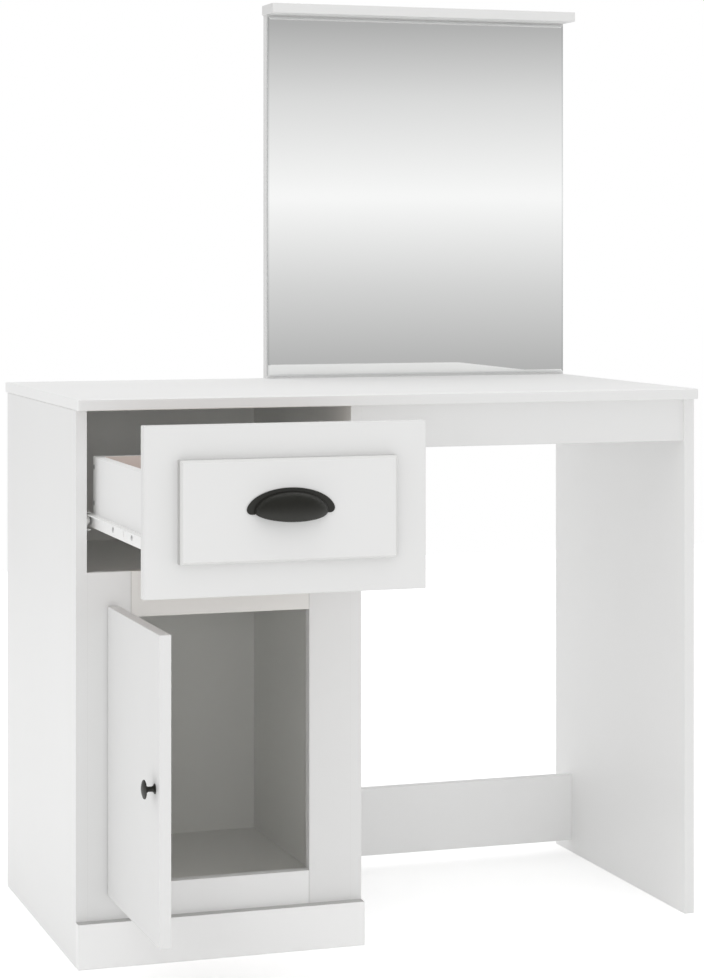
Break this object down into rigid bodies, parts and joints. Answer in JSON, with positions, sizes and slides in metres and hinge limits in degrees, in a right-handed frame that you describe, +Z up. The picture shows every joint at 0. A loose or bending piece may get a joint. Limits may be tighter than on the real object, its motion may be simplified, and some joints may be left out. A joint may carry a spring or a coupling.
{
  "type": "dressing table",
  "caption": "White free-standing dressing table with a pull-out drawer, a hinged cabinet door, an open knee space and an upright mirror under a narrow crown shelf.",
  "frame": {"origin": "on the floor, under the middle of the whole outline with the drawer pulled out to its stop and the door open at a right angle", "axes": "+Z up, +X to the right as seen by someone sitting at the table, +Y from that person towards the mirror"},
  "size_m": [0.9, 0.8245, 1.325],
  "materials": {
    "white_board": "white melamine-faced board",
    "drawer_board": "white foil-wrapped board",
    "hardboard": "pale painted hardboard",
    "mirror_glass": "silvered glass with a polished bevel",
    "white_steel": "white epoxy powder coat",
    "roller_plastic": "moulded nylon",
    "black_metal": "satin black powder coat",
    "hinge_steel": "bright zinc plated",
    "fastener_steel": "zinc plated",
    "cam_zinc": "die cast zinc alloy",
    "dowel_wood": "plain beech"
  },
  "bodies": {
    "table": {"tabletop": "white_board", "left_side_panel": "white_board", "cabinet_right_panel": "white_board", "right_leg_panel": "white_board", "cabinet_bottom_panel": "white_board", "cabinet_divider": "white_board", "cabinet_back_panel": "hardboard", "left_stile": "white_board", "right_stile": "white_board", "middle_rail": "white_board", "bottom_rail": "white_board", "plinth_board": "white_board", "apron": "white_board", "stretcher": "white_board", "mirror_backboard": "white_board", "mirror_glass": "mirror_glass", "mirror_crown": "white_board", "left_cabinet_slide": "white_steel", "right_cabinet_slide": "white_steel", "cabinet_slide_screws": "fastener_steel", "lower_hinge_frame_leaf": "hinge_steel", "upper_hinge_frame_leaf": "hinge_steel", "hinge_pins": "hinge_steel", "hinge_frame_screws": "fastener_steel", "cam_discs": "cam_zinc", "cam_bolts": "fastener_steel", "tabletop_dowels": "dowel_wood", "frame_dowels": "dowel_wood", "plinth_dowels": "dowel_wood", "crown_dowels": "dowel_wood", "mirror_screws": "fastener_steel", "back_panel_nails": "fastener_steel"},
    "drawer": {"drawer_front": "white_board", "drawer_raised_panel": "white_board", "drawer_left_side": "drawer_board", "drawer_right_side": "drawer_board", "drawer_back": "drawer_board", "drawer_bottom": "hardboard", "left_drawer_slide": "white_steel", "right_drawer_slide": "white_steel", "drawer_slide_screws": "fastener_steel", "cup_handle": "black_metal", "handle_screws": "fastener_steel", "raised_panel_screws": "fastener_steel", "drawer_dowels": "dowel_wood", "drawer_box_screws": "fastener_steel"},
    "door": {"door_panel": "white_board", "door_knob": "black_metal", "knob_screw": "fastener_steel", "lower_hinge_door_leaf": "hinge_steel", "upper_hinge_door_leaf": "hinge_steel", "hinge_door_screws": "fastener_steel"},
    "front_left_roller": {"front_left_roller": "roller_plastic"},
    "front_right_roller": {"front_right_roller": "roller_plastic"},
    "rear_left_roller": {"rear_left_roller": "roller_plastic"},
    "rear_right_roller": {"rear_right_roller": "roller_plastic"}
  },
  "joints": [
    {"name": "drawer_slide", "type": "slide", "parent": "table", "child": "drawer", "axis": [0, -1, 0], "range_m": [-0.3, 0]},
    {"name": "door_hinge", "type": "hinge", "parent": "table", "child": "door", "pos_m": [-0.3923, -0.07535, 0.283], "axis": [0, 0, -1], "range_deg": [-90, 8]},
    {"name": "front_left_roller_spin", "type": "hinge", "parent": "table", "child": "front_left_roller", "pos_m": [-0.43, -0.04825, 0.5887], "axis": [1, 0, 0], "range_deg": [-2700, 20]},
    {"name": "front_right_roller_spin", "type": "hinge", "parent": "table", "child": "front_right_roller", "pos_m": [-0.072, -0.04825, 0.5887], "axis": [1, 0, 0], "range_deg": [-2700, 20]},
    {"name": "rear_left_roller_spin", "type": "hinge", "parent": "drawer", "child": "rear_left_roller", "pos_m": [-0.4293, -0.03525, 0.5828], "axis": [1, 0, 0], "range_deg": [-2700, 20]},
    {"name": "rear_right_roller_spin", "type": "hinge", "parent": "drawer", "child": "rear_right_roller", "pos_m": [-0.0727, -0.03525, 0.5828], "axis": [1, 0, 0], "range_deg": [-2700, 20]}
  ],
  "couplings": [
    {"joint": "front_left_roller_spin", "follows": "drawer_slide", "rad_per_m": 153.85},
    {"joint": "front_right_roller_spin", "follows": "drawer_slide", "rad_per_m": 153.85},
    {"joint": "rear_left_roller_spin", "follows": "drawer_slide", "rad_per_m": 153.85},
    {"joint": "rear_right_roller_spin", "follows": "drawer_slide", "rad_per_m": 153.85}
  ]
}
